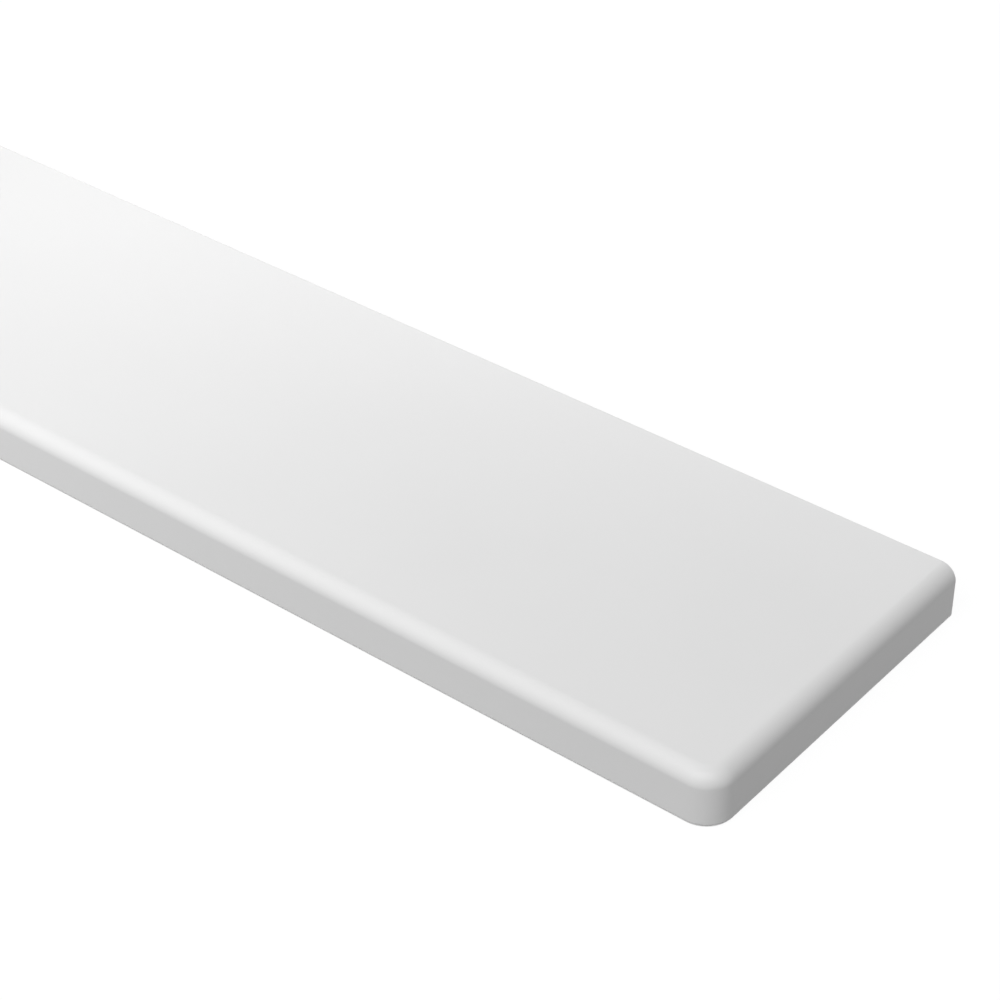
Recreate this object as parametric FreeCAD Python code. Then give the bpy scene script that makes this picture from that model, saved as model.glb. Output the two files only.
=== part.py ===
import FreeCAD, Part
import math
import os

# Window sill board: one board, worked from a single piece. The front edge and both ends have
# a rounded nosing above and an eased arris below, and the two front corners are rounded in
# plan, so the nosing runs round them in one sweep. The back edge is cut square, to butt
# against the window frame, and the underside is flat, to lie on the wall.
# +Z is up, X runs along the board, -Y faces the room, and the origin is the centre of the
# underside.

# Driving dimensions, in millimetres
BOARD_LENGTH = 1000.0  # from end to end
BOARD_DEPTH = 145.0  # from the front face to the back edge
BOARD_THICKNESS = 22.0  # from the underside to the top
NOSING_RADIUS = 6.3  # round of the top edge, along the front and both ends
CORNER_RADIUS = 11.2  # round of the two front corners, seen from above
ARRIS_RADIUS = 1.5  # eased bottom edge, along the front and both ends

# Where the faces lie
END_X = BOARD_LENGTH / 2
BACK_Y = BOARD_DEPTH / 2
FRONT_Y = -BACK_Y
UNDERSIDE_Z = 0.0
TOP_Z = UNDERSIDE_Z + BOARD_THICKNESS

PARTS_FOLDER = "parts"
SAME_PLACE = 1e-6  # two places closer than this are the same


def underside_point(x, y):
    return FreeCAD.Vector(x, y, UNDERSIDE_Z)


def corner_arc(side):
    """Round of one front corner, from the front to the end; side is 1 on the right, -1 on the left."""
    centre_x = END_X - CORNER_RADIUS
    centre_y = FRONT_Y + CORNER_RADIUS
    diagonal = CORNER_RADIUS * math.sqrt(0.5)
    return Part.Arc(
        underside_point(side * centre_x, FRONT_Y),
        underside_point(side * (centre_x + diagonal), centre_y - diagonal),
        underside_point(side * END_X, centre_y),
    )


def plan_outline():
    """Closed outline of the board seen from above: rounded front corners, square back corners."""
    right_corner = corner_arc(1)
    left_corner = corner_arc(-1)
    back_right = underside_point(END_X, BACK_Y)
    back_left = underside_point(-END_X, BACK_Y)
    outline = [
        Part.LineSegment(left_corner.StartPoint, right_corner.StartPoint),
        right_corner,
        Part.LineSegment(right_corner.EndPoint, back_right),
        Part.LineSegment(back_right, back_left),
        Part.LineSegment(back_left, left_corner.EndPoint),
        left_corner,
    ]
    return Part.Wire(Part.__sortEdges__([curve.toShape() for curve in outline]))


def edges_to_the_room(board, level):
    """Edges at one height along the front, its corners and both ends: all but the back edge."""
    found = []
    for edge in board.Edges:
        middle = edge.CenterOfMass
        at_level = abs(middle.z - level) < SAME_PLACE
        on_back = abs(middle.y - BACK_Y) < SAME_PLACE
        if at_level and not on_back:
            found.append(edge)
    return found


def sill_board():
    """The whole board: a blank cut to the outline, then its edges rounded."""
    blank = Part.Face(plan_outline()).extrude(FreeCAD.Vector(0, 0, BOARD_THICKNESS))
    nosed = blank.makeFillet(NOSING_RADIUS, edges_to_the_room(blank, TOP_Z))
    return nosed.makeFillet(ARRIS_RADIUS, edges_to_the_room(nosed, UNDERSIDE_Z))


os.makedirs(PARTS_FOLDER, exist_ok=True)
sill_board().exportStep(os.path.join(PARTS_FOLDER, "sill_board.step"))
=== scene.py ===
import math

import bmesh
import bpy
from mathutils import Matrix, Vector


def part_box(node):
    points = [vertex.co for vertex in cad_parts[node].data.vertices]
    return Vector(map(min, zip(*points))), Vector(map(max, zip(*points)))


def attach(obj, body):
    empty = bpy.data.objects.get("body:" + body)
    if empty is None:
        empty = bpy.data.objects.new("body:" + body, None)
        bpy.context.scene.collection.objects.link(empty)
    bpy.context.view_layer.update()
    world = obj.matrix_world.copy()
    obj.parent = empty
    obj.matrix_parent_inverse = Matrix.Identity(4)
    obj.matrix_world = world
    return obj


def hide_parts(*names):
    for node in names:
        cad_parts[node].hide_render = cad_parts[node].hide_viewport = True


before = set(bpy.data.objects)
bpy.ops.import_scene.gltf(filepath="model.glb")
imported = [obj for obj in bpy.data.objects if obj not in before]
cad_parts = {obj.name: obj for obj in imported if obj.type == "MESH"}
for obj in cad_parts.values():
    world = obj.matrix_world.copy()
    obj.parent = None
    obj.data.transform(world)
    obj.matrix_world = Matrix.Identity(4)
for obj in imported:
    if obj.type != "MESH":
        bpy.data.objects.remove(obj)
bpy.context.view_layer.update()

# A window sill board: one white lacquered board with a rounded nosing along the front and both
# ends, rounded front corners and a square back edge. Lengths are in metres and angles in degrees.
# +Z is up, X runs along the board and -Y faces the room.

# The board
BOARD_NODE = "sill_board"
BOARD_LOW, BOARD_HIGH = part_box(BOARD_NODE)
CORNER_RADIUS = 0.0112
CORNER_SEGMENTS = 28
NOSING_RADIUS = 0.0063
NOSING_SEGMENTS = 20
ARRIS_RADIUS = 0.0015
ARRIS_SEGMENTS = 8
BACK_EASE = 0.0002
BACK_EASE_SEGMENTS = 2
SAME_PLACE = 1e-5

# The finish
LACQUER_LIGHT = (0.81, 0.81, 0.81, 1.0)
LACQUER_DARK = (0.79, 0.79, 0.79, 1.0)
LACQUER_IOR = 1.5
LACQUER_ROUGHNESS = 0.21
DRIFT_PER_METRE = 14.0
DRIFT_DETAIL = 3.0
DRIFT_IN_ROUGHNESS = 0.06
PEEL_PER_METRE = 420.0
PEEL_DETAIL = 2.0
PEEL_IN_ROUGHNESS = 0.03
PEEL_STRENGTH = 0.04
PEEL_DEPTH = 0.0002
NOISE_MIDDLE = 0.5

# The floor and what lies behind it
FLOOR_HALF = 12.0
FLOOR_GAP = 0.0002
FLOOR_COLOUR = (0.1, 0.1, 0.1, 1.0)
FLOOR_GLOW = 0.93
# Painted shade: close under the board's foot the floor's glow is painted dark by ambient occlusion, as a
# painted contact shadow.
CONTACT_REACH = 0.0004
PAINTED_CONTACT_SHADOW = (0.05, 0.05, 0.05, 1.0)
CONTACT_SAMPLES = 16
WHITE = (1.0, 1.0, 1.0, 1.0)
AMBIENT = 0.05

# The camera, at the photograph's viewing angle
EYE = (0.84185, -0.60341, 0.58677)
LOOK_DOWN = 35.889
LOOK_LEFT = 38.936
LENS_MM = 96.565
SENSOR_MM = 36.0
CLIP_NEAR = 0.01

# The lamps
LAMP_TARGET = Vector((0.1, 0.0, 0.0))
# Name; azimuth and elevation from the target; distance, width and height; power in watts; whether the
# lamp shows in reflections. Only the lamp behind does, because the others would whiten the top when it
# is seen from other sides.
LAMPS = (
    ("front", 21.0, 48.5, 5.0, 6.0, 4.0, 260.5, False),
    ("near", 338.0, 48.5, 0.35, 0.5, 0.5, 0.53, False),
    ("behind", 201.0, 31.0, 3.0, 3.2, 0.4, 10.7, True),
    ("left", 272.0, 25.0, 2.0, 2.0, 1.2, 7.0, False),
    ("back", 185.0, 16.0, 2.0, 2.4, 0.8, 8.0, False),
)


class Socket:
    """One output of a node; arithmetic on it adds Math nodes to its tree."""

    def __init__(self, nodes, output):
        self.nodes = nodes
        self.output = output

    def _math(self, operation, first, second):
        return self.nodes.make("ShaderNodeMath", {"operation": operation}, {0: first, 1: second})

    def __add__(self, other):
        return self._math("ADD", self, other)

    def __radd__(self, other):
        return self._math("ADD", other, self)

    def __sub__(self, other):
        return self._math("SUBTRACT", self, other)

    def __rsub__(self, other):
        return self._math("SUBTRACT", other, self)

    def __mul__(self, other):
        return self._math("MULTIPLY", self, other)

    def __rmul__(self, other):
        return self._math("MULTIPLY", other, self)


class Nodes:
    """The nodes of one material, or of the world."""

    def __init__(self, tree):
        self.tree = tree
        tree.nodes.clear()

    def make(self, kind, settings, inputs, output=0):
        """Makes a node, with its settings and then its sockets' values or links; gives one output."""
        node = self.tree.nodes.new(kind)
        for name, value in settings.items():
            setattr(node, name, value)
        for name, value in inputs.items():
            if isinstance(value, Socket):
                self.tree.links.new(value.output, node.inputs[name])
            else:
                node.inputs[name].default_value = value
        if not node.outputs:
            return None
        return Socket(self, node.outputs[output])


def new_material(name):
    material = bpy.data.materials.new(name)
    material.use_nodes = True
    return material, Nodes(material.node_tree)


def noise(nodes, place, per_metre, detail):
    return nodes.make("ShaderNodeTexNoise", {}, {"Vector": place, "Scale": per_metre, "Detail": detail})


def blend(nodes, share, start, end):
    """A colour that goes from a start to an end as a share goes from 0 to 1."""
    colours = {"Factor": share, "A": start, "B": end}
    return nodes.make("ShaderNodeMix", {"data_type": "RGBA"}, colours, "Result")


def white_lacquer():
    """Satin white lacquer: near white, a faint drift of tone and gloss, and a very fine orange peel."""
    material, nodes = new_material("satin_lacquer")
    place = nodes.make("ShaderNodeTexCoord", {}, {}, "Object")
    drift = noise(nodes, place, DRIFT_PER_METRE, DRIFT_DETAIL)
    peel = noise(nodes, place, PEEL_PER_METRE, PEEL_DETAIL)
    tone = blend(nodes, drift, LACQUER_DARK, LACQUER_LIGHT)
    roughness = (
        LACQUER_ROUGHNESS
        + DRIFT_IN_ROUGHNESS * (drift - NOISE_MIDDLE)
        + PEEL_IN_ROUGHNESS * (peel - NOISE_MIDDLE)
    )
    normal = nodes.make(
        "ShaderNodeBump", {}, {"Height": peel, "Strength": PEEL_STRENGTH, "Distance": PEEL_DEPTH}
    )
    shader = nodes.make(
        "ShaderNodeBsdfPrincipled",
        {},
        {"Base Color": tone, "Roughness": roughness, "Normal": normal, "IOR": LACQUER_IOR},
    )
    nodes.make("ShaderNodeOutputMaterial", {}, {"Surface": shader})
    return material


def seen_directly(nodes):
    """1 for rays from the camera, straight or by a mirror or glass, and 0 for rays that only carry light."""
    camera = nodes.make("ShaderNodeLightPath", {}, {}, "Is Camera Ray")
    glossy = nodes.make("ShaderNodeLightPath", {}, {}, "Is Glossy Ray")
    through = nodes.make("ShaderNodeLightPath", {}, {}, "Is Transmission Ray")
    return nodes.make(
        "ShaderNodeMath", {"operation": "ADD", "use_clamp": True}, {0: camera + glossy, 1: through}
    )


def white_floor_paint():
    """White where it is seen, with a painted contact shadow close under the board's eased foot, and a plain
    surface to the light.
    """
    material, nodes = new_material("white_floor")
    paint = nodes.make("ShaderNodeBsdfDiffuse", {}, {"Color": FLOOR_COLOUR})
    # Painted contact shadow: the glow's colour goes dark where ambient occlusion finds the board close by.
    openness = nodes.make(
        "ShaderNodeAmbientOcclusion", {"samples": CONTACT_SAMPLES}, {"Distance": CONTACT_REACH}, "AO"
    )
    tone = blend(nodes, openness, PAINTED_CONTACT_SHADOW, WHITE)
    strength = FLOOR_GLOW * seen_directly(nodes)
    glow = nodes.make("ShaderNodeEmission", {}, {"Color": tone, "Strength": strength})
    surface = nodes.make("ShaderNodeAddShader", {}, {0: paint, 1: glow})
    nodes.make("ShaderNodeOutputMaterial", {}, {"Surface": surface})
    return material


def set_world():
    """White where it is seen, and a low even light from all round."""
    world = bpy.data.worlds.new("studio")
    world.use_nodes = True
    nodes = Nodes(world.node_tree)
    strength = AMBIENT + (1 - AMBIENT) * seen_directly(nodes)
    sky = nodes.make("ShaderNodeBackground", {}, {"Color": WHITE, "Strength": strength})
    nodes.make("ShaderNodeOutputWorld", {}, {"Surface": sky})
    bpy.context.scene.world = world


def place_mesh(name, mesh_builder, material):
    """A new object at the origin, with its place in its mesh."""
    mesh = bpy.data.meshes.new(name)
    mesh_builder.to_mesh(mesh)
    mesh_builder.free()
    mesh.materials.append(material)
    piece = bpy.data.objects.new(name, mesh)
    bpy.context.scene.collection.objects.link(piece)
    return piece


def round_edges(board, edges, radius, segments):
    bmesh.ops.bevel(
        board,
        geom=edges,
        offset=radius,
        offset_type="OFFSET",
        segments=segments,
        profile=0.5,
        affect="EDGES",
        material=-1,
    )


def at(value, wanted):
    return abs(value - wanted) < SAME_PLACE


def edges_where(board, test):
    """Edges of which both ends pass a test of their place."""
    return [edge for edge in board.edges if all(test(corner.co) for corner in edge.verts)]


def front_corners(board):
    """The two upright edges at the front."""
    front_edges = edges_where(board, lambda place: at(place.y, BOARD_LOW.y))
    return [edge for edge in front_edges if at(edge.verts[0].co.x, edge.verts[1].co.x)]


def back_outline(board):
    """The edges round the back face."""
    return edges_where(board, lambda place: at(place.y, BOARD_HIGH.y))


def front_and_ends(board, level):
    """The edges at one level, along the front and both ends."""
    level_edges = edges_where(board, lambda place: at(place.z, level))
    back_edges = back_outline(board)
    return [edge for edge in level_edges if edge not in back_edges]


def make_board():
    """A block with its front corners, then its top edge, its bottom edge and its back outline rounded."""
    board = bmesh.new()
    bmesh.ops.create_cube(board, size=1.0)
    bmesh.ops.scale(board, vec=BOARD_HIGH - BOARD_LOW, verts=board.verts)
    bmesh.ops.translate(board, vec=(BOARD_HIGH + BOARD_LOW) / 2, verts=board.verts)
    round_edges(board, front_corners(board), CORNER_RADIUS, CORNER_SEGMENTS)
    round_edges(board, front_and_ends(board, BOARD_HIGH.z), NOSING_RADIUS, NOSING_SEGMENTS)
    round_edges(board, front_and_ends(board, BOARD_LOW.z), ARRIS_RADIUS, ARRIS_SEGMENTS)
    round_edges(board, back_outline(board), BACK_EASE, BACK_EASE_SEGMENTS)
    for face in board.faces:
        face.smooth = True
    piece = place_mesh("sill_board_lacquered", board, white_lacquer())
    piece.modifiers.new("flat_faces_stay_flat", "WEIGHTED_NORMAL")
    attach(piece, "root")
    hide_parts(BOARD_NODE)


def make_floor():
    floor = bmesh.new()
    bmesh.ops.create_grid(floor, x_segments=1, y_segments=1, size=FLOOR_HALF)
    bmesh.ops.translate(floor, vec=(0.0, 0.0, BOARD_LOW.z - FLOOR_GAP), verts=floor.verts)
    place_mesh("floor", floor, white_floor_paint())


def make_camera():
    camera = bpy.data.cameras.new("camera")
    camera.sensor_width = SENSOR_MM
    camera.lens = LENS_MM
    camera.clip_start = CLIP_NEAR
    camera_object = bpy.data.objects.new("camera", camera)
    camera_object.location = EYE
    camera_object.rotation_euler = (math.radians(90 - LOOK_DOWN), 0.0, math.radians(LOOK_LEFT))
    bpy.context.scene.collection.objects.link(camera_object)
    bpy.context.scene.camera = camera_object


def make_lamp(name, azimuth, elevation, distance, width, height, power, in_reflections):
    """A softbox that points at the lamps' target. Azimuth 0 is in front of the board and 90 to its right."""
    lamp = bpy.data.lights.new(name, "AREA")
    lamp.shape = "RECTANGLE"
    lamp.size = width
    lamp.size_y = height
    lamp.energy = power
    lamp_object = bpy.data.objects.new(name, lamp)
    around = math.radians(azimuth)
    up = math.radians(elevation)
    towards = Vector((math.sin(around) * math.cos(up), -math.cos(around) * math.cos(up), math.sin(up)))
    lamp_object.location = LAMP_TARGET + distance * towards
    lamp_object.rotation_euler = towards.to_track_quat("Z", "Y").to_euler()
    lamp_object.visible_camera = False
    lamp_object.visible_glossy = in_reflections
    bpy.context.scene.collection.objects.link(lamp_object)


make_board()
make_floor()
set_world()
make_camera()
for lamp_row in LAMPS:
    make_lamp(*lamp_row)
bpy.context.scene.view_settings.view_transform = "Standard"
